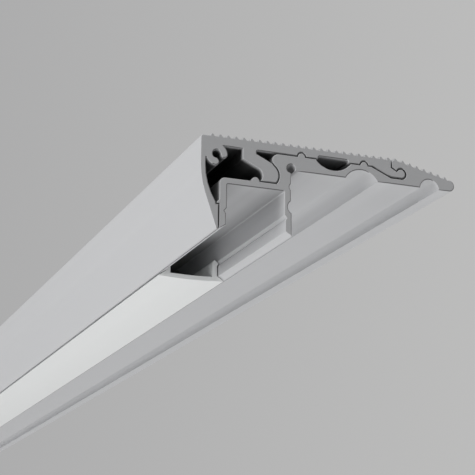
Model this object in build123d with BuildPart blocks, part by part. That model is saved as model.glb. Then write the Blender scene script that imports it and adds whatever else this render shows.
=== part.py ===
from build123d import *

import os
from math import atan2, cos, degrees, hypot, radians, sin, sqrt, tan

# Stair nosing for an LED strip: a tread profile that slides along a base profile, and an opal
# diffuser clipped under it. Millimetres. Sections are drawn with x from the step's riser face
# towards the back of the tread and z up from the top face of the step, so the origin is the
# step's corner, at mid-length.

# Stock and running gaps
stock_length = 600.0
slide_gap = 0.2  # between the two extrusions, all along their interlock
pocket_gap = 0.3  # round the tongue and ball, where it is wider
clip_gap = 0.15  # between the diffuser and the channel
diffuser_setback = 46.0  # the diffuser's end behind the cut end

# Flange of the base profile, which lies on the step
flange_thickness = 3.7
snap_radius = 1.0  # half-round ridges that key the two flanges together
front_snap_x = 2.65
scoop_spacing = 8.35  # front ridge to the hollow that saves metal
scoop_width = 9.4
scoop_depth = 2.3
glue_groove_spacing = 7.5  # that hollow to the groove for glue
glue_groove_width = 8.55
glue_groove_depth = 2.5
joint_spacing = 8.05  # glue groove to the back edge of the plate
back_snap_inset = 7.3  # from the back edge of the plate
crest_land = 1.95  # back edge of the plate to where the ramp starts to fall
ramp_run = 14.1  # from there to the centre of the rounded tip
ramp_foot_drop = 0.2  # end of the slope below the top of the rounded tip
tip_radius = 1.45
tip_groove_inset = 7.0  # from the tip of the ramp
tip_groove_width = 5.1
tip_groove_depth = 2.36
corner_port_x = -0.1  # end cap screw port in the step's corner
corner_port_z = 0.45
corner_port_radius = 1.1

# Hook socket under the flange's rounded end
bulb_x = -3.3
bulb_radius = 1.65
socket_back = 2.9  # centre of the socket in front of the bulb's
socket_z = -1.75

# Channel for the LED strip, under the flange and in front of the riser
channel_width = 18.25
channel_drop = 3.85  # seat plane down to the top of the channel
channel_depth = 12.55  # top of the channel down to the tips of its legs
channel_corner = 1.4
top_wall = 1.55
leg_wall = 1.85
leg_thinning = 0.2  # the legs are thinner below their grooves
leg_tip_angle = 33.0
inner_corner = 0.3
riser_relief = 0.2  # the upper part of the right leg stands back from the riser
groove_height = 4.4  # centre of the clip grooves above the leg tips
groove_depth = 0.6
groove_rise = 0.7
groove_fall = 0.9
ridge_radius = 1.05  # ridge in front of the hook's heel
upper_notch_z = -4.15  # adhesive notches in the riser side of the right leg
upper_notch_width = 1.7
upper_notch_depth = 0.55
lower_notch_z = -9.15
lower_notch_width = 3.0
lower_notch_depth = 0.95
barb_drop = 6.5  # top of the channel down to the underside of the barb on the left leg
barb_reach = 0.7
barb_flat = 0.3

# Tread profile: plate and nose
plate_thickness = 2.2
nose_overhang = 4.85  # outside of the channel to the outside of the nose
nose_wall = 1.3
nose_corner = 0.6
nose_bend_z = -1.0  # where the nose starts to curve in
nose_lean = 19.0  # degrees, straight part of the nose
lip_below_legs = 0.05  # tip of the lip below the leg tips
lip_tip_width = 0.6
lip_round = 0.22

# Tread profile: end cap screw port behind the nose
port_inset = 4.05  # from the outside of the nose
port_z = 1.75
port_radius = 1.05
port_wall = 1.7
port_arm_low = -97.0  # degrees, the ends of the port's two arms
port_arm_high = 3.0
port_root = 1.1  # the port is joined to the nose down to this far below its centre

# Tread profile: hook leg, with reaches measured forwards from the socket's centre
knee_reach = 6.35
hollow_reach = 2.8
ankle_reach = 1.9
heel_reach = 1.75
ankle_sag = 0.6
knee_z = 1.35
hook_slope = 25.0  # degrees, both sides of the leg
neck_angle = 213.0  # degrees round the bulb, where the leg's upper side leaves it
toe_radius = 0.4
hollow_corner = 0.35

# Tread profile: recess over the scoop, and the tongue and ball at the back edge
roof_height = 0.7
roof_width = 8.05
roof_corner = 0.45
tongue_length = 5.15  # the wedge in front of that edge
tongue_floor = 1.7
shoulder_rise = 0.25  # above the plate's underside
neck_reach = 1.55  # behind the back edge, as the ball's
neck_height = 1.55  # above the tongue's floor
ball_reach = 2.75
ball_radius = 1.15

# Anti-slip ribs of both profiles
rib_pitch = 2.0
rib_height = 0.6
rib_width = 1.15
rib_rake = 0.12  # lean of the steep flank
rib_crest = 0.35
rib_round = 0.12
nose_land = 2.45  # smooth band before the first rib
ramp_land = 0.75  # back edge of the plate to the first rib of the ramp

# Opal diffuser
skin = 1.25
bow = 0.35  # how far its middle stands below its edges
skin_drop = 0.3  # edges of its outer face below the leg tips
edge_inset = 0.3  # from the outside of the channel
clip_wall = 1.3
clip_barb_gap = 0.3  # tip of a clip's barb to the bottom of its groove
clip_undercut = 0.5
clip_head = 1.05  # top of the clip above its barb
clip_head_inset = 0.65
clip_chamfer = 0.7

# Levels and places that follow from the sizes above
plate_bottom = flange_thickness + slide_gap
plate_top = plate_bottom + plate_thickness
channel_top = -channel_drop
leg_tip_z = channel_top - channel_depth
barb_z = channel_top - barb_drop
scoop_x = front_snap_x + scoop_spacing
glue_groove_x = scoop_x + glue_groove_spacing
joint_x = glue_groove_x + joint_spacing
ramp_crest = joint_x + crest_land
ramp_end = ramp_crest + ramp_run
ramp_fall = plate_top - 2 * tip_radius + ramp_foot_drop
half_channel = channel_width / 2
leg_face = half_channel - leg_wall
bulb_z = flange_thickness - bulb_radius
socket_x = bulb_x - socket_back
socket_radius = hypot(socket_back, bulb_z - socket_z) - bulb_radius
turn_angle = degrees(atan2(bulb_z - socket_z, socket_back))
heel_x = socket_x - heel_reach
nose_face = -channel_width - nose_overhang
port_x = nose_face + port_inset
snap_places = (front_snap_x, joint_x - back_snap_inset)


def arc_radius(width, depth):
    """Radius of the arc that cuts a groove of this width and depth in a flat face."""
    return (width**2 / 4 + depth**2) / (2 * depth)


def block(x_low, x_high, z_low, z_high, mode=Mode.ADD):
    with Locations(((x_low + x_high) / 2, (z_low + z_high) / 2)):
        Rectangle(x_high - x_low, z_high - z_low, mode=mode)


def disc(x, z, radius, mode=Mode.ADD):
    with Locations((x, z)):
        Circle(radius, mode=mode)


def rib_row(first, last):
    """Distances of the ribs that fit between two ends of a row."""
    count = int((last - first - rib_width) / rib_pitch) + 1
    return [first + rib_pitch * i for i in range(count)]


# One rib, steep towards the nose, standing on the origin
with BuildSketch() as rib:
    with BuildLine():
        Polyline(
            (0, -rib_height / 2),
            (0, 0),
            (rib_rake, rib_height),
            (rib_rake + rib_crest, rib_height),
            (rib_width, 0),
            (rib_width, -rib_height / 2),
            close=True,
        )
    make_face()
    fillet(rib.vertices().group_by(Axis.Y)[-1], radius=rib_round)

# Back edge of the tread profile: a wedge, a neck and a ball, which the base profile's pocket holds
with BuildSketch() as tongue:
    with BuildLine():
        Polyline(
            (joint_x - tongue_length, plate_bottom),
            (joint_x, tongue_floor),
            (joint_x + ball_reach, tongue_floor),
            (joint_x + ball_reach, tongue_floor + neck_height),
            (joint_x + neck_reach, tongue_floor + neck_height),
            (joint_x, plate_bottom + shoulder_rise),
            (joint_x, plate_top),
            (joint_x - tongue_length, plate_top),
            close=True,
        )
    make_face()
    disc(joint_x + ball_reach, tongue_floor + ball_radius, ball_radius)

# Clip groove and slanted tip of one leg, drawn from the channel's middle and up from the leg tips
with BuildSketch() as leg_cuts:
    with BuildLine():
        Polyline(
            (leg_face, groove_height + groove_rise),
            (leg_face + groove_depth, groove_height),
            (leg_face, groove_height - groove_fall),
            close=True,
        )
    make_face()
    with BuildLine():
        Polyline(
            (half_channel, 0),
            (leg_face, leg_wall * tan(radians(leg_tip_angle))),
            (leg_face, 0),
            close=True,
        )
    make_face()
    mirror(about=Plane.YZ)

with BuildSketch() as channel:
    with Locations((0, channel_depth / 2)):
        Rectangle(channel_width, channel_depth)
    fillet(channel.vertices().group_by(Axis.X)[0].sort_by(Axis.Y)[-1], radius=channel_corner)
    with Locations((0, (channel_depth - top_wall) / 2)):
        Rectangle(2 * leg_face, channel_depth - top_wall, mode=Mode.SUBTRACT)
    ceiling = [(-leg_face, channel_depth - top_wall), (leg_face, channel_depth - top_wall)]
    fillet([channel.vertices().sort_by_distance(corner)[0] for corner in ceiling], inner_corner)
    with Locations((0, groove_height / 2)):
        Rectangle(2 * (leg_face + leg_thinning), groove_height, mode=Mode.SUBTRACT)
    add(leg_cuts.sketch, mode=Mode.SUBTRACT)

# Base profile: flange, hook socket, channel and ramp in one extrusion
with BuildPart() as base_profile:
    with BuildSketch(Plane.XZ) as base_section:
        # the flange ends in a bulb, and its web and the bulb make an S round the hook's foot
        block(bulb_x, joint_x + pocket_gap, 0, flange_thickness)
        turn_x = bulb_x - bulb_radius * cos(radians(turn_angle))
        block(turn_x, -riser_relief, channel_top - top_wall, bulb_z)
        disc(socket_x, socket_z, socket_radius, mode=Mode.SUBTRACT)
        disc(bulb_x, bulb_z, bulb_radius)
        for x in snap_places:
            disc(x, flange_thickness, snap_radius)

        # the channel, with a barb for the tread profile's lip and a ridge for its hook
        add(channel.sketch.moved(Location((-half_channel, leg_tip_z))))
        disc(heel_x - slide_gap - ridge_radius, channel_top, ridge_radius)
        with BuildLine():
            Polyline(
                (-channel_width, barb_z),
                (-channel_width - barb_reach, barb_z),
                (-channel_width - barb_reach, barb_z + barb_flat),
                (-channel_width, barb_z + barb_flat + barb_reach),
                close=True,
            )
        make_face()

        # riser side of the right leg
        block(-riser_relief, 0, lower_notch_z, channel_top, mode=Mode.SUBTRACT)
        for z, width, depth in (
            (upper_notch_z, upper_notch_width, upper_notch_depth),
            (lower_notch_z, lower_notch_width, lower_notch_depth),
        ):
            radius = arc_radius(width, depth)
            disc(radius - depth, z, radius, mode=Mode.SUBTRACT)
        disc(corner_port_x, corner_port_z, corner_port_radius, mode=Mode.SUBTRACT)

        # the ramp, with a fully rounded tip and ribs that follow its slope
        slope = atan2(ramp_fall, ramp_run)
        with BuildLine():
            Polyline(
                (joint_x + pocket_gap, 0),
                (joint_x + pocket_gap, plate_top),
                (ramp_crest, plate_top),
                (ramp_end, plate_top - ramp_fall),
                (ramp_end, 0),
                close=True,
            )
        make_face()
        disc(ramp_end, tip_radius, tip_radius)
        ramp_length = crest_land + ramp_run / cos(slope)
        for along in rib_row(ramp_land, ramp_length):
            beyond = along - crest_land
            if beyond < 0:
                place = Location((joint_x + along, plate_top))
            else:
                foot = (ramp_crest + beyond * cos(slope), plate_top - beyond * sin(slope))
                place = Location(foot, -degrees(slope))
            add(rib.sketch.moved(place))

        # the pocket for the tongue, the scoop and the two glue grooves
        pocket = offset(tongue.sketch, amount=pocket_gap, mode=Mode.PRIVATE)
        add(pocket, mode=Mode.SUBTRACT)
        scoop_radius = arc_radius(scoop_width, scoop_depth)
        scoop_z = flange_thickness - scoop_depth + scoop_radius
        disc(scoop_x, scoop_z, scoop_radius, mode=Mode.SUBTRACT)
        for x, width, depth in (
            (glue_groove_x, glue_groove_width, glue_groove_depth),
            (ramp_end + tip_radius - tip_groove_inset, tip_groove_width, tip_groove_depth),
        ):
            radius = arc_radius(width, depth)
            disc(x, depth - radius, radius, mode=Mode.SUBTRACT)
    extrude(amount=stock_length / 2, both=True)
base_profile.part.label = "base_profile"

# Screw port of the tread profile, a thick C with rounded ends
with BuildSketch() as port:
    Circle(port_radius + port_wall)
    Circle(port_radius, mode=Mode.SUBTRACT)
    opening_reach = 2 * (port_radius + port_wall)
    with BuildLine():
        Polyline(
            (0, 0),
            *[
                (opening_reach * cos(radians(angle)), opening_reach * sin(radians(angle)))
                for angle in (port_arm_low, (port_arm_low + port_arm_high) / 2, port_arm_high)
            ],
            close=True,
        )
    make_face(mode=Mode.SUBTRACT)
    for angle in (port_arm_low, port_arm_high):
        arm = port_radius + port_wall / 2
        disc(arm * cos(radians(angle)), arm * sin(radians(angle)), port_wall / 2)

# Tread profile: ribbed plate, curved nose with its lip, screw port, hook leg and tongue
with BuildPart() as tread_profile:
    with BuildSketch(Plane.XZ) as tread_section:
        block(nose_face, joint_x - tongue_length, plate_bottom, plate_top)
        add(tongue.sketch)

        # the nose wall thickens towards its lip, which hooks under the channel's barb
        lip_face = -channel_width - slide_gap
        lip_z = leg_tip_z - lip_below_legs
        lip_tip = (lip_face - lip_tip_width, lip_z)
        barb_face = lip_face - barb_reach
        inner_x = nose_face + nose_wall
        # the bend is just large enough for the straight part to meet the tip of the lip
        lean = radians(nose_lean)
        spare = (nose_bend_z - lip_z) * tan(lean) - (lip_tip[0] - nose_face)
        bend_radius = spare * cos(lean) / (1 - cos(lean))
        with BuildLine():
            front = Line((nose_face, plate_top), (nose_face, nose_bend_z))
            bend = JernArc(front @ 1, (0, -1), bend_radius, nose_lean)
            lip = Polyline(
                bend @ 1,
                lip_tip,
                (lip_face, lip_z),
                (lip_face, barb_z - slide_gap),
                (barb_face, barb_z - slide_gap),
                (barb_face, barb_z + barb_flat),
            )
            inside = TangentArc((inner_x, nose_bend_z), lip @ 1, tangent=(0, -1))
            Polyline(inside @ 0, (inner_x, plate_top), (nose_face, plate_top))
        make_face()
        block(nose_face + nose_wall / 2, port_x, port_z - port_root, plate_bottom)
        disc(port_x, port_z, port_radius, mode=Mode.SUBTRACT)
        add(port.sketch.moved(Location((port_x, port_z))))

        # the hook leg: its foot fills the socket and its neck goes round the bulb
        foot_z = channel_top + slide_gap
        foot_radius = socket_radius - slide_gap
        neck_radius = bulb_radius + slide_gap
        sole_angle = -degrees(atan2(socket_z - foot_z, sqrt(foot_radius**2 - (socket_z - foot_z) ** 2)))
        rise = tan(radians(hook_slope))
        knee_x, hollow_x = socket_x - knee_reach, socket_x - hollow_reach
        with BuildLine():
            shin = Polyline(
                (knee_x, plate_bottom),
                (knee_x, knee_z),
                (socket_x - ankle_reach, knee_z - (knee_reach - ankle_reach) * rise),
            )
            ankle = SagittaArc(shin @ 1, (heel_x, foot_z), ankle_sag)
            toe = CenterArc((socket_x, socket_z), foot_radius, sole_angle, turn_angle - sole_angle)
            Line(ankle @ 1, toe @ 0)
            around = neck_angle - 180 - turn_angle
            neck = CenterArc((bulb_x, bulb_z), neck_radius, 180 + turn_angle, around)
            neck_end = neck @ 1
            hollow_z = neck_end.Y + (neck_end.X - hollow_x) * rise
            Polyline(
                neck_end,
                (hollow_x, hollow_z),
                (hollow_x, plate_bottom),
                (knee_x, plate_bottom),
            )
        make_face()
        fillet(tread_section.vertices().sort_by_distance(toe @ 0)[0], radius=toe_radius)

        # recesses over the snap ridges and the scoop
        for x in snap_places:
            disc(x, flange_thickness, snap_radius + slide_gap, mode=Mode.SUBTRACT)
        hollow_round = min(hollow_corner, (plate_bottom - hollow_z) / 2.5)
        roof_low, roof_high = scoop_x - roof_width / 2, scoop_x + roof_width / 2
        roof_z = plate_bottom + roof_height
        block(roof_low, roof_high, plate_bottom, roof_z, mode=Mode.SUBTRACT)
        for corners, radius in (
            ([(roof_low, roof_z), (roof_high, roof_z)], roof_corner),
            ([(hollow_x, hollow_z), (hollow_x, plate_bottom)], hollow_round),
            ([(nose_face, plate_top)], nose_corner),
            ([(lip_face, lip_z), lip_tip], lip_round),
        ):
            for corner in corners:
                fillet(tread_section.vertices().sort_by_distance(corner)[0], radius=radius)

        for x in rib_row(nose_face + nose_land, joint_x):
            add(rib.sketch.moved(Location((x, plate_top))))
    extrude(amount=stock_length / 2, both=True)
tread_profile.part.label = "tread_profile"

# Opal diffuser: a bowed skin with two clips that snap into the grooves of the channel
half_skin = half_channel - edge_inset
clip_outer = leg_face - clip_gap
clip_inner = clip_outer - clip_wall
bow_radius = arc_radius(2 * half_skin, bow)
bow_centre = bow_radius - bow - skin_drop


def sag(across, radius):
    """Point of a bowed face, this far across from the diffuser's middle."""
    return (across, bow_centre - sqrt(radius**2 - across**2))


def bevel(across):
    """Point of the edge that lies along a leg's slanted tip."""
    slant = radians(leg_tip_angle)
    return (across, (half_channel - across) * tan(slant) - clip_gap / cos(slant))


with BuildPart() as diffuser:
    far_end = Plane((-half_channel, stock_length / 2, leg_tip_z), x_dir=(1, 0, 0), z_dir=(0, -1, 0))
    with BuildSketch(far_end) as diffuser_section:
        with BuildLine():
            outer = [sag(across, bow_radius) for across in (0, half_skin / 2, half_skin)]
            inner = [sag(across, bow_radius - skin) for across in (clip_inner, clip_inner / 2, 0)]
            ThreePointArc(*outer)
            Polyline(
                outer[-1],
                bevel(half_skin),
                bevel(clip_outer),
                (clip_outer, groove_height - clip_undercut),
                (leg_face + groove_depth - clip_barb_gap, groove_height),
                (clip_outer - clip_head_inset, groove_height + clip_head),
                (clip_inner, groove_height + clip_head - clip_chamfer),
                inner[0],
            )
            ThreePointArc(*inner)
            mirror(about=Plane.YZ)
        make_face()
    extrude(amount=stock_length - diffuser_setback)
diffuser.part.label = "diffuser"

os.makedirs("parts", exist_ok=True)
export_step(base_profile.part, "parts/base_profile.step")
export_step(tread_profile.part, "parts/tread_profile.step")
export_step(diffuser.part, "parts/diffuser.step")
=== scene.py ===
import math

import bmesh
import bpy
from mathutils import Euler, Matrix, Vector
from mathutils.bvhtree import BVHTree


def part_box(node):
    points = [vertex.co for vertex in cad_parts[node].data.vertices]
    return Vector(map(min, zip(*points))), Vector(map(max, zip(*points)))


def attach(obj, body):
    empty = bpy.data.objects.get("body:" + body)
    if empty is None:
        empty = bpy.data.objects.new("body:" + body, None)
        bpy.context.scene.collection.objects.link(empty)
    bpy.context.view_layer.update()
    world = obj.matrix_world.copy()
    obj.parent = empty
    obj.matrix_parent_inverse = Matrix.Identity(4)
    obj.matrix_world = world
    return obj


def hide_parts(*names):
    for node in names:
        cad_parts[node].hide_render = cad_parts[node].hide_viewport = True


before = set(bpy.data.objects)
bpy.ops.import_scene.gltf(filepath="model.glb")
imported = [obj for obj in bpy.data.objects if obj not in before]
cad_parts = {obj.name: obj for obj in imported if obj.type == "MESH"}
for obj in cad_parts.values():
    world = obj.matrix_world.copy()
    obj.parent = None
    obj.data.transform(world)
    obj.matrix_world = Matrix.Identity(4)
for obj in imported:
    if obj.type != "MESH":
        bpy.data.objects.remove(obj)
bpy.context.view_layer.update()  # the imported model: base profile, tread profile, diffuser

print("frame loaded:", ", ".join(sorted(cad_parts)))


# Shader and geometry nodes

class Signal:
    # an output socket that can be added, multiplied and compared like a number

    def __init__(self, board, socket):
        self.board, self.socket = board, socket

    def output(self, name):
        # another output of the same node
        return Signal(self.board, self.socket.node.outputs[name])

    def maths(self, operation, first, second=None):
        inputs = {0: first} if second is None else {0: first, 1: second}
        return self.board.node("ShaderNodeMath", {"operation": operation}, inputs)

    def __add__(self, other):
        return self.maths("ADD", self, other)

    def __radd__(self, other):
        return self.maths("ADD", other, self)

    def __sub__(self, other):
        return self.maths("SUBTRACT", self, other)

    def __rsub__(self, other):
        return self.maths("SUBTRACT", other, self)

    def __mul__(self, other):
        return self.maths("MULTIPLY", self, other)

    def __rmul__(self, other):
        return self.maths("MULTIPLY", other, self)

    def __gt__(self, other):
        return self.maths("GREATER_THAN", self, other)

    def __lt__(self, other):
        return self.maths("LESS_THAN", self, other)

    def __abs__(self):
        return self.maths("ABSOLUTE", self)


class Board:
    # a node tree, filled by one method

    def __init__(self, tree):
        self.tree = tree

    def node(self, kind, settings=None, inputs=None, out=None):
        made = self.tree.nodes.new(kind)
        for name, value in (settings or {}).items():
            if name == "stops":
                ramp = made.color_ramp
                while len(ramp.elements) < len(value):
                    ramp.elements.new(0.5)
                for element, (place, colour) in zip(ramp.elements, value):
                    element.position, element.color = place, (*colour, 1.0)
            else:
                setattr(made, name, value)
        for name, values in (inputs or {}).items():
            for value in values if isinstance(values, list) else [values]:
                if isinstance(value, Signal):
                    self.tree.links.new(value.socket, made.inputs[name])
                else:
                    made.inputs[name].default_value = value
        outputs = made.outputs if out else [s for s in made.outputs if s.enabled]
        return Signal(self, outputs[out or 0]) if len(outputs) else None


def newMaterial(name):
    material = bpy.data.materials.new(name)
    material.use_nodes = True
    material.node_tree.nodes.clear()
    return material, Board(material.node_tree)


def fade(board, value, start, end):
    # rises smoothly from 0 at the start to 1 at the end
    return board.node(
        "ShaderNodeMapRange",
        {"interpolation_type": "SMOOTHSTEP"},
        {"Value": value, "From Min": start, "From Max": end},
        out="Result",
    )


def blend(board, share, first, second):
    # from the first colour to the second
    return board.node(
        "ShaderNodeMix", {"data_type": "RGBA"}, {"Factor": share, "A": first, "B": second}
    )


def scaled(board, vector, factor):
    return board.node(
        "ShaderNodeVectorMath", {"operation": "SCALE"}, {"Vector": vector, "Scale": factor}
    )


def dot(board, first, second):
    return board.node("ShaderNodeVectorMath", {"operation": "DOT_PRODUCT"}, {0: first, 1: second})


def axisOf(board, vector, axis):
    return board.node("ShaderNodeSeparateXYZ", {}, {"Vector": vector}, out=axis)


def opaque(colour):
    return (*colour, 1.0)


# Finishes

# each pattern has its fineness in x, y and z, its detail, how far it lightens and darkens the
# surface, and how high it stands in the bump
aluminium = {
    "colour": (0.62, 0.625, 0.636),
    # the cut ends' darker colour is painted shade; their saw marks and roughness are their own
    "shadedCutColour": (0.402, 0.405, 0.412),
    "roughness": 0.58,
    "metallic": 0.25,
    "drawLines": {
        "fineness": (900.0, 1.3, 900.0),
        "detail": 4.0,
        "roughness": 0.6,
        "tone": 0.035,
        "height": 0.6,
    },
    "clouds": {"fineness": (22.0, 5.0, 22.0), "detail": 3.0, "tone": 0.03},
    "grain": {"fineness": (4200.0, 4200.0, 4200.0), "detail": 2.0, "height": 0.25},
    "sawMarks": {
        "fineness": (160.0, 1.0, 2600.0),
        "turn": 24.0,  # degrees
        "detail": 3.0,
        "tone": 0.05,
        "height": 0.8,
    },
    "drawLineRoughness": 0.10,
    "cutRoughness": 0.04,
    "bump": {"Strength": 0.12, "Distance": 0.00004},
}

# surfaces are told apart by how far they face along the length, or up and down; pairs go from
# where a tone starts to where it is full
facings = {
    "cut": 0.9,  # sawn ends face further along than this
    "flat": 0.9999,  # and what is shaded flat, further than this
    "wall": (0.6, 0.0),
    "rimFromWall": (0.10, 0.25),
    "rimFromCut": (0.995, 0.97),
    "level": (0.7, 0.95),
}

# painted shade in hollows: their walls are painted darker than open faces. Its tone, the openness
# at which it is full and gone, how much of it upright walls get, and how deep inside the cut end
# it is full
treadHollowShade = {
    "tone": 0.20,
    "fullShadeBelow": 0.34,
    "plainAbove": 0.66,
    "sides": 1.0,
    "depth": 0.0020,
}
baseHollowShade = {
    "tone": 0.45,
    "fullShadeBelow": 0.20,
    "plainAbove": 0.75,
    "sides": 0.0,
    "depth": 0.0005,
}

# rims that face this way are wider than elsewhere, and painted darker: painted shade
paintedShadeRims = {
    "towards": (0.90, 0.0, -0.44),
    "facing": (0.0, 0.06),  # how far a rim faces that way, where the dark starts and is full
    "widerFrom": 0.05,  # how far it has to face that way to be wider
    "elsewhere": 0.45,  # width of the other rims, as a share of these
    "tone": 0.30,
}

# painted shade at the cut end: narrow seams, and the spaces that two pieces enclose between them
jointShade = {
    "seamShadeTone": 0.22,
    "seamGap": 0.0005,  # walls this near another piece, at rest, are sides of a seam
    "seamDepth": (0.0006, 0.0012),  # depths from the cut end over which a seam clears
    "spaceShadeTone": 0.26,
    "spaceOpenness": (0.30, 0.12),  # where a hollow starts to count as a space, and fully does
    "spaceStart": (0.0001, 0.0018),  # depths from the cut end over which it darkens
    "spaceEnd": (0.014, 0.034),  # and clears again
}

opal = {
    "colour": (0.853, 0.868, 0.863),
    "roughness": 0.38,
    "ior": 1.49,
    "clouds": {"fineness": (60.0, 9.0, 60.0), "detail": 3.0, "tone": 0.012},
    "skin": {"fineness": (3200.0, 1600.0, 3200.0), "detail": 2.0},
    "cloudRoughness": 0.05,
    "bump": {"Strength": 0.06, "Distance": 0.00003},
}


def pattern(board, settings):
    # noise on the object's own coordinates, drawn out along the extrusion
    place = board.node(
        "ShaderNodeMapping",
        {},
        {
            "Vector": board.node("ShaderNodeTexCoord", out="Object"),
            "Rotation": (0.0, math.radians(settings.get("turn", 0.0)), 0.0),
            "Scale": settings["fineness"],
        },
    )
    return board.node(
        "ShaderNodeTexNoise",
        {},
        {
            "Vector": place,
            "Scale": 1.0,
            "Detail": settings["detail"],
            "Roughness": settings.get("roughness", 0.5),
        },
        out="Fac",
    )


def attribute(board, name):
    return board.node("ShaderNodeAttribute", {"attribute_name": name}, out="Fac")


def paintedShade(amount, tone):
    # painted shade: 1 where there is nothing of it, and its tone where it is full
    return 1.0 - amount * (1.0 - tone)


def paintedShadeTone(board, facing, hollowShade):
    # painted shade: 1 on open faces, darker in hollows, seams and spaces near the cut ends,
    # and on rims that face down and to the right
    facingLength = abs(axisOf(board, facing, "Y"))
    facingUp = abs(axisOf(board, facing, "Z"))
    place = board.node("ShaderNodeTexCoord", out="Object")
    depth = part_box("base_profile")[1].y - abs(axisOf(board, place, "Y"))
    wall = fade(board, facingLength, *facings["wall"])

    level = fade(board, facingUp, *facings["level"])
    level = hollowShade["sides"] + level * (1.0 - hollowShade["sides"])
    shadedHollow = fade(board, attribute(board, "openness"), hollowShade["plainAbove"], hollowShade["fullShadeBelow"])
    shadedHollow = shadedHollow * level * fade(board, depth, 0.0, hollowShade["depth"])

    rim = fade(board, facingLength, *facings["rimFromWall"])
    rim = rim * fade(board, facingLength, *facings["rimFromCut"])
    shadeSideRim = rim * fade(board, dot(board, facing, paintedShadeRims["towards"]), *paintedShadeRims["facing"])

    seam = attribute(board, "seam") * (1.0 - fade(board, depth, *jointShade["seamDepth"]))
    space = attribute(board, "space") * fade(board, depth, *jointShade["spaceStart"])
    space = space * (1.0 - fade(board, depth, *jointShade["spaceEnd"]))

    tone = paintedShade(shadedHollow * wall, hollowShade["tone"]) * paintedShade(shadeSideRim, paintedShadeRims["tone"])
    tone = tone * paintedShade(seam * wall, jointShade["seamShadeTone"])
    return tone * paintedShade(space * wall, jointShade["spaceShadeTone"])


def aluminiumFinish(name, settings, hollowShade):
    material, board = newMaterial(name)
    lines, clouds, grain, sawn = (
        pattern(board, settings[kind]) for kind in ("drawLines", "clouds", "grain", "sawMarks")
    )
    facing = board.node("ShaderNodeTexCoord", out="Normal")
    cut = abs(axisOf(board, facing, "Y")) > facings["cut"]
    drawn = (lines - 0.5) * settings["drawLines"]["tone"]
    drawn = drawn + (clouds - 0.5) * settings["clouds"]["tone"]
    marks = (sawn - 0.5) * settings["sawMarks"]["tone"]
    # the drawn lines, clouds and saw marks are the metal's own tone; the rest is painted shade
    tone = (1.0 + drawn * (1.0 - cut) + marks * cut) * paintedShadeTone(board, facing, hollowShade)
    # the cut ends get a darker colour: painted shade
    plain = blend(board, cut, opaque(settings["colour"]), opaque(settings["shadedCutColour"]))
    height = lines * (1.0 - cut) * settings["drawLines"]["height"]
    height = height + sawn * cut * settings["sawMarks"]["height"]
    height = height + grain * settings["grain"]["height"]
    rough = settings["roughness"] + (lines - 0.5) * settings["drawLineRoughness"]
    surface = board.node(
        "ShaderNodeBsdfPrincipled",
        {},
        {
            "Base Color": scaled(board, plain, tone),
            "Roughness": rough + cut * settings["cutRoughness"],
            "Metallic": settings["metallic"],
            "Normal": board.node("ShaderNodeBump", {}, {**settings["bump"], "Height": height}),
        },
    )
    board.node("ShaderNodeOutputMaterial", {}, {"Surface": surface})
    return material


def opalFinish(name, settings):
    material, board = newMaterial(name)
    clouds = pattern(board, settings["clouds"])
    skin = pattern(board, settings["skin"])
    tone = 1.0 + (clouds - 0.5) * settings["clouds"]["tone"]
    surface = board.node(
        "ShaderNodeBsdfPrincipled",
        {},
        {
            "Base Color": scaled(board, settings["colour"], tone),
            "Roughness": settings["roughness"] + (clouds - 0.5) * settings["cloudRoughness"],
            "IOR": settings["ior"],
            "Normal": board.node("ShaderNodeBump", {}, {**settings["bump"], "Height": skin}),
        },
    )
    board.node("ShaderNodeOutputMaterial", {}, {"Surface": surface})
    return material


treadFinish = aluminiumFinish("anodisedTread", aluminium, treadHollowShade)
baseFinish = aluminiumFinish("anodisedBase", aluminium, baseHollowShade)
diffuserFinish = opalFinish("opalDiffuser", opal)
print("finishes made")


# Sections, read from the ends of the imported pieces

samePlace = 1e-7  # metres

outlines = {
    "longestEdge": 0.0012,
    "sharpest": 0.35,  # keeps the way in from running far inside at sharp points
    "edgeLeft": 0.3,  # share of each edge's length that a rim has to leave
    "narrowing": 0.85,  # what is left of a rim's width each time it doesn't
    "narrowings": 40,
    "smoothings": 6,
}

rays = {
    "count": 36,
    "reach": 0.06,
    "clear": 0.00005,  # they start this far off the surface
}


def flat(vector):
    # a vector of the section, put into the space of the object
    return Vector((vector.x, 0.0, vector.y))


def readEnd(source):
    # the flat end nearest the camera, as points of the section and faces
    near = min(v.co.y for v in source.verts)
    end = [f for f in source.faces if all(abs(v.co.y - near) < samePlace for v in f.verts)]
    inEnd = set(end)
    outline = [e for f in end for e in f.edges if sum(g in inEnd for g in e.link_faces) == 1]
    for edge in outline:
        pieces = math.ceil(edge.calc_length() / outlines["longestEdge"])
        for share in range(pieces, 1, -1):
            bmesh.utils.edge_split(edge, edge.verts[0], 1.0 / share)
    points, faces, index = [], [], {}
    for face in end:
        for vert in face.verts:
            if vert not in index:
                index[vert] = len(points)
                points.append(Vector((vert.co.x, vert.co.z)))
        faces.append([index[vert] for vert in face.verts])
    return points, faces


def walkOutline(faces):
    # the points that come after and before each point of the outline
    sides = [(a, b) for corners in faces for a, b in zip(corners, corners[1:] + corners[:1])]
    count = {}
    for side in sides:
        count[frozenset(side)] = count.get(frozenset(side), 0) + 1
    after = {}
    for a, b in sides:
        after.setdefault(a, []).append(b)
    follows = {a: b for a, ends in after.items() for b in ends if count[frozenset((a, b))] == 1}
    return follows, {b: a for a, b in follows.items()}


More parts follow.
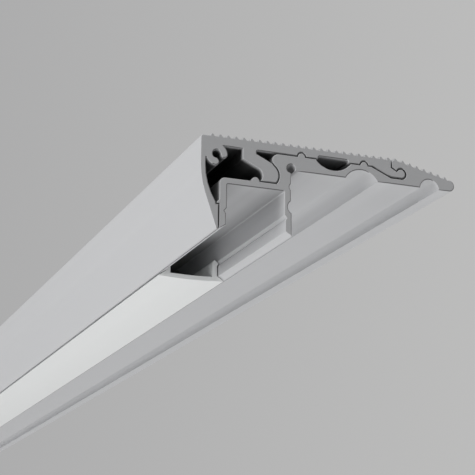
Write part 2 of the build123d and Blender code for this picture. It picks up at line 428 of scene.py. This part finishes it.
def rimWays(points, follows, before, rim):
    # the way in from each point of the outline, and how far a rim goes along it
    inward, width = {}, {}
    for at, onward in follows.items():
        into = (points[at] - points[before[at]]).normalized()
        out = (points[onward] - points[at]).normalized()
        # all the faces wind the same way, so the inside is always on the same hand
        hand = Vector((-into.y, into.x)) + Vector((-out.y, out.x))
        side = hand / max(1.0 + into.dot(out), outlines["sharpest"])
        shadeSideRim = flat(-side).dot(Vector(paintedShadeRims["towards"])) > paintedShadeRims["widerFrom"]
        inward[at], width[at] = side, rim * (1.0 if shadeSideRim else paintedShadeRims["elsewhere"])
    for _ in range(outlines["narrowings"]):  # a rim can't be wider than the small curves it rounds
        pinched = set()
        for at, onward in follows.items():
            edge = points[onward] - points[at]
            moved = edge + inward[onward] * width[onward] - inward[at] * width[at]
            if moved.dot(edge) < outlines["edgeLeft"] * edge.dot(edge):
                pinched |= {at, onward}
        for at in pinched:
            width[at] *= outlines["narrowing"]
    for _ in range(outlines["smoothings"]):
        width = {
            at: min(width[at], (width[before[at]] + width[at] + width[follows[at]]) / 3)
            for at in width
        }
    return inward, width


def opennessAt(solids, start, outward):
    # share of the light that reaches this place of the section past the walls of these pieces
    across = Vector((outward.z, 0.0, -outward.x))
    start = start + outward * rays["clear"]
    reached = total = 0.0
    for step in range(rays["count"]):
        angle = math.pi * ((step + 0.5) / rays["count"] - 0.5)
        weight = math.cos(angle)
        ray = outward * weight + across * math.sin(angle)
        total += weight
        if all(solid.ray_cast(start, ray, rays["reach"])[0] is None for solid in solids):
            reached += weight
    return reached / total


def wallLight(node, solid, points, inward, follows, before):
    # how open each place of the outline is, and whether it lies in a seam or an enclosed space
    others = [
        BVHTree.FromPolygons(
            [v.co for v in other.data.vertices], [f.vertices for f in other.data.polygons]
        )
        for name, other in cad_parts.items()
        if name not in (node, "diffuser")  # the diffuser stands well behind the cut end
    ]
    plain, least = jointShade["spaceOpenness"]
    openness, seam, space = {}, {}, {}
    for at, side in inward.items():
        place, outward = flat(points[at]), -flat(side).normalized()
        hits = [other.ray_cast(place, outward, jointShade["seamGap"])[0] for other in others]
        assembled = opennessAt([solid] + others, place, outward)
        enclosed = min(max((plain - assembled) / (plain - least), 0.0), 1.0)
        openness[at] = opennessAt([solid], place, outward)
        seam[at] = float(any(hit is not None for hit in hits))
        space[at] = 0.0 if seam[at] else enclosed
    # the painted shade of a space ends short of the open faces beside it
    space = {
        at: min([space[at]] + [space[n] for n in (before[at], follows[at]) if not seam[n]])
        for at in space
    }
    return {"openness": openness, "seam": seam, "space": space}


def cutEnd(node, rim):
    # a flat mesh of the end, whose points carry the way in of the rim and the light at the wall
    source = bmesh.new()
    source.from_mesh(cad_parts[node].data)
    bmesh.ops.remove_doubles(source, verts=source.verts, dist=samePlace)
    solid = BVHTree.FromBMesh(source)
    points, faces = readEnd(source)
    source.free()
    follows, before = walkOutline(faces)
    inward, width = rimWays(points, follows, before, rim)
    mesh = bpy.data.meshes.new(node + "End")
    mesh.from_pydata([flat(point) for point in points], [], faces)
    way = mesh.attributes.new("wayIn", "FLOAT_VECTOR", "POINT")
    for at, side in inward.items():
        way.data[at].vector = (side.x * width[at], 0.0, side.y * width[at])
    light = wallLight(node, solid, points, inward, follows, before)
    for name, values in light.items():
        layer = mesh.attributes.new(name, "FLOAT", "POINT")
        for at, value in values.items():
            layer.data[at].value = value
    mesh.update()
    if sum(f.normal.y * f.area for f in mesh.polygons) > 0:
        mesh.flip_normals()
    return mesh


# Extrusions

def extrusionTree():
    # draws a section out along the length and rounds the rims of both cut ends
    tree = bpy.data.node_groups.new("drawnExtrusion", "GeometryNodeTree")
    tree.is_modifier = True
    sockets = tree.interface
    sockets.new_socket("Section", in_out="INPUT", socket_type="NodeSocketGeometry")
    for name in ("Near End", "Far End", "Rim Depth", "Crease"):
        sockets.new_socket(name, in_out="INPUT", socket_type="NodeSocketFloat")
    sockets.new_socket("Finish", in_out="INPUT", socket_type="NodeSocketMaterial")
    sockets.new_socket("Extrusion", in_out="OUTPUT", socket_type="NodeSocketGeometry")
    board = Board(tree)
    section = board.node("NodeGroupInput", out="Section")
    nearEnd, farEnd = section.output("Near End"), section.output("Far End")
    depth = section.output("Rim Depth")

    def shift(mesh, along, share, chosen=True):
        # moves points along the length, and in from the edge by a share of their way in
        way = board.node(
            "GeometryNodeInputNamedAttribute", {"data_type": "FLOAT_VECTOR"}, {"Name": "wayIn"}
        )
        lengthways = board.node("ShaderNodeCombineXYZ", {}, {"Y": along})
        offset = board.node(
            "ShaderNodeVectorMath",
            {"operation": "ADD"},
            {0: scaled(board, way, share), 1: lengthways},
        )
        return board.node(
            "GeometryNodeSetPosition",
            {},
            {"Geometry": mesh, "Selection": chosen, "Offset": offset},
        )

    # quarter-round rim in three steps: how deep from the end, and how far in from the side
    angles = [math.radians(angle) for angle in (0, 30, 60, 90)]
    rim = [(1.0 - math.cos(angle), 1.0 - math.sin(angle)) for angle in angles]
    bends = list(zip(rim, rim[1:]))
    # each step is how far along, and how far in: near rim, walls, far rim
    steps = [((b[0] - a[0]) * depth, b[1] - a[1]) for a, b in bends]
    steps.append((farEnd - nearEnd - 2.0 * depth, 0.0))
    steps += [((b[0] - a[0]) * depth, a[1] - b[1]) for a, b in reversed(bends)]

    shape = shift(section, nearEnd, 1.0)
    faceCount = board.node("GeometryNodeInputMeshEdgeNeighbors")
    chosen = board.node(
        "FunctionNodeCompare",
        {"data_type": "INT", "operation": "EQUAL"},
        {"A": faceCount, "B": 1},
    )
    for along, share in steps:
        drawn = board.node(
            "GeometryNodeExtrudeMesh",
            {"mode": "EDGES"},
            {"Mesh": shape, "Selection": chosen, "Offset Scale": 0.0},
            out="Mesh",
        )
        chosen = drawn.output("Top")
        shape = shift(drawn, along, share, chosen)
    farCap = board.node("GeometryNodeFlipFaces", {}, {"Mesh": shift(section, farEnd, 1.0)})
    joined = board.node("GeometryNodeJoinGeometry", {}, {"Geometry": [farCap, shape]})
    closed = board.node(
        "GeometryNodeMergeByDistance", {}, {"Geometry": joined, "Distance": 2 * samePlace}
    )

    # cut ends are flat, walls are smooth between sharp corners
    normal = board.node("GeometryNodeInputNormal", out="Normal")
    walls = board.node(
        "GeometryNodeSetShadeSmooth",
        {"domain": "FACE"},
        {"Geometry": closed, "Shade Smooth": abs(axisOf(board, normal, "Y")) < facings["flat"]},
    )
    angle = board.node("GeometryNodeInputMeshEdgeAngle", out="Unsigned Angle")
    creased = board.node(
        "GeometryNodeSetShadeSmooth",
        {"domain": "EDGE"},
        {"Geometry": walls, "Shade Smooth": angle < section.output("Crease")},
    )
    whole = board.node("GeometryNodeRealizeInstances", {}, {"Geometry": creased})
    finished = board.node(
        "GeometryNodeSetMaterial", {}, {"Geometry": whole, "Material": section.output("Finish")}
    )
    board.node("NodeGroupOutput", {}, {"Extrusion": finished})
    return tree


drawnExtrusion = extrusionTree()


def drawPiece(name, node, body, finish, settings):
    section = cutEnd(node, settings["rim"])
    low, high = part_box(node)
    blank = bpy.data.objects.new(name + "Blank", section)
    bpy.context.scene.collection.objects.link(blank)
    modifier = blank.modifiers.new("draw", "NODES")
    modifier.node_group = drawnExtrusion
    inputs = {
        "Near End": low.y,
        "Far End": high.y,
        "Rim Depth": settings["rim"],
        "Crease": math.radians(settings["crease"]),
        "Finish": finish,
    }
    for item in drawnExtrusion.interface.items_tree:
        if item.in_out == "INPUT" and item.name in inputs:
            modifier[item.identifier] = inputs[item.name]
    bpy.context.view_layer.update()
    graph = bpy.context.evaluated_depsgraph_get()
    mesh = bpy.data.meshes.new_from_object(blank.evaluated_get(graph), depsgraph=graph)
    bpy.data.objects.remove(blank)
    if "wayIn" in mesh.attributes:
        mesh.attributes.remove(mesh.attributes["wayIn"])
    mesh.name = name
    piece = bpy.data.objects.new(name, mesh)
    bpy.context.scene.collection.objects.link(piece)
    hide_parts(node)
    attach(piece, body)
    triangles = sum(len(f.vertices) - 2 for f in mesh.polygons)
    print(f"{name}: {triangles} triangles from {len(section.vertices)} points of the section")


# rims are the lightly deburred edges of the cut ends; crease is in degrees
treadExtrusion = {"rim": 0.00024, "crease": 24.0}
baseExtrusion = {"rim": 0.00024, "crease": 24.0}
diffuserExtrusion = {"rim": 0.00010, "crease": 24.0}

drawPiece("treadProfile", "tread_profile", "tread", treadFinish, treadExtrusion)
drawPiece("baseProfile", "base_profile", "base", baseFinish, baseExtrusion)
drawPiece("opalCover", "diffuser", "diffuser", diffuserFinish, diffuserExtrusion)


# Floor, light and background

# the floor is palest around its centre and darker towards its edge: a painted pool of light
paleFloor = {
    "size": 16.0,
    "drop": 1.1,  # it stands this far below the step
    "colour": (0.84, 0.84, 0.842),
    "edge": (0.52, 0.52, 0.522),
    "centre": (-1.5, 1.0),  # where it is palest
    "fade": (1.9, 4.0),
    "roughness": 0.9,
}

softboxes = {
    "left": {
        "place": (-1.0, -0.42, -0.20),
        "aim": (0.0, -0.25, 0.0),
        "size": (0.4, 0.3),
        "power": 3.45,
    },
    "rightLow": {
        "place": (0.9, -0.2, -0.62),
        "aim": (0.0, -0.2, 0.0),
        "size": (1.2, 0.5),
        "power": 1.95,
    },
}

topLight = {"toLight": (-0.25, -0.38, 0.89), "strength": 0.58, "spread": 25.0}

greyBackdrop = {
    "ambient": (0.67, 0.67, 0.67),
    "across": (0.934, -0.357, 0.009),  # from its left side to its right
    "stops": [(0.34, (0.418, 0.418, 0.420)), (0.66, (0.500, 0.500, 0.498))],
}


def makeFloor(name, settings):
    half, drop = settings["size"] / 2, settings["drop"]
    sides = ((-half, -half), (half, -half), (half, half), (-half, half))
    mesh = bpy.data.meshes.new(name)
    mesh.from_pydata([(x, y, -drop) for x, y in sides], [], [(0, 1, 2, 3)])
    floor = bpy.data.objects.new(name, mesh)
    bpy.context.scene.collection.objects.link(floor)
    material, board = newMaterial("paleFloor")
    place = board.node("ShaderNodeTexCoord", out="Object")
    away = board.node(
        "ShaderNodeVectorMath",
        {"operation": "DISTANCE"},
        {0: place, 1: (*settings["centre"], -drop)},
    )
    # painted pool of light: palest at the centre, darker towards the edge
    share = fade(board, away, *settings["fade"])
    colour = blend(board, share, opaque(settings["colour"]), opaque(settings["edge"]))
    surface = board.node(
        "ShaderNodeBsdfPrincipled",
        {},
        {"Base Color": colour, "Roughness": settings["roughness"]},
    )
    board.node("ShaderNodeOutputMaterial", {}, {"Surface": surface})
    mesh.materials.append(material)


def hangLamp(name, lamp, toLight):
    holder = bpy.data.objects.new(name, lamp)
    holder.rotation_euler = toLight.to_track_quat("Z", "Y").to_euler()
    bpy.context.scene.collection.objects.link(holder)
    return holder


def makeSoftbox(name, settings):
    lamp = bpy.data.lights.new(name, "AREA")
    lamp.shape, lamp.energy = "RECTANGLE", settings["power"]
    lamp.size, lamp.size_y = settings["size"]
    holder = hangLamp(name, lamp, Vector(settings["place"]) - Vector(settings["aim"]))
    holder.location = settings["place"]
    holder.visible_camera = False  # it stands between some of the other views and the part


def makeSun(name, settings):
    lamp = bpy.data.lights.new(name, "SUN")
    lamp.energy, lamp.angle = settings["strength"], math.radians(settings["spread"])
    hangLamp(name, lamp, Vector(settings["toLight"]))


def makeWorld(settings):
    # even light for the object; the camera and reflections see the grey background
    world = bpy.data.worlds.new("studio")
    bpy.context.scene.world = world
    world.use_nodes = True
    world.node_tree.nodes.clear()
    board = Board(world.node_tree)
    camera, glossy, through = (
        board.node("ShaderNodeLightPath", out=f"Is {kind} Ray")
        for kind in ("Camera", "Glossy", "Transmission")
    )
    seen = board.node(
        "ShaderNodeMath",
        {"operation": "ADD", "use_clamp": True},
        {0: camera + glossy, 1: through},
    )
    direction = board.node("ShaderNodeTexCoord", out="Generated")
    backdrop = board.node(
        "ShaderNodeValToRGB",
        {"stops": settings["stops"]},
        {"Fac": dot(board, direction, settings["across"]) + 0.5},
        out="Color",
    )
    colour = blend(board, seen, opaque(settings["ambient"]), backdrop)
    light = board.node("ShaderNodeBackground", {}, {"Color": colour, "Strength": 1.0})
    board.node("ShaderNodeOutputWorld", {}, {"Surface": light})


makeFloor("studioFloor", paleFloor)
for name, settings in softboxes.items():
    makeSoftbox(name, settings)
makeSun("topLight", topLight)
makeWorld(greyBackdrop)
print("floor, light and background made")


# Camera, below the step line and looking up along the profile

photoView = {
    "place": (-0.128380, -0.603042, -0.110809),
    "heading": 20.726,  # degrees to the right of the length
    "pitch": 15.957,  # degrees up
    "roll": 0.534,  # degrees
    "lens": 109.895,  # mm
    "sensor": 36.0,  # mm wide
    "clip": (0.02, 60.0),
}


def makeCamera(name, settings):
    data = bpy.data.cameras.new(name)
    data.sensor_width, data.lens = settings["sensor"], settings["lens"]
    data.clip_start, data.clip_end = settings["clip"]
    camera = bpy.data.objects.new(name, data)
    bpy.context.scene.collection.objects.link(camera)
    # an unturned camera looks straight down
    tilt, heading, roll = (
        math.radians(angle)
        for angle in (90.0 + settings["pitch"], -settings["heading"], settings["roll"])
    )
    turn = Euler((tilt, 0.0, heading)).to_matrix() @ Matrix.Rotation(roll, 3, "Z")
    camera.matrix_world = Matrix.Translation(settings["place"]) @ turn.to_4x4()
    bpy.context.scene.camera = camera


makeCamera("photoCamera", photoView)
bpy.context.scene.view_settings.view_transform = "Standard"
print("camera set")

bpy.context.view_layer.update()
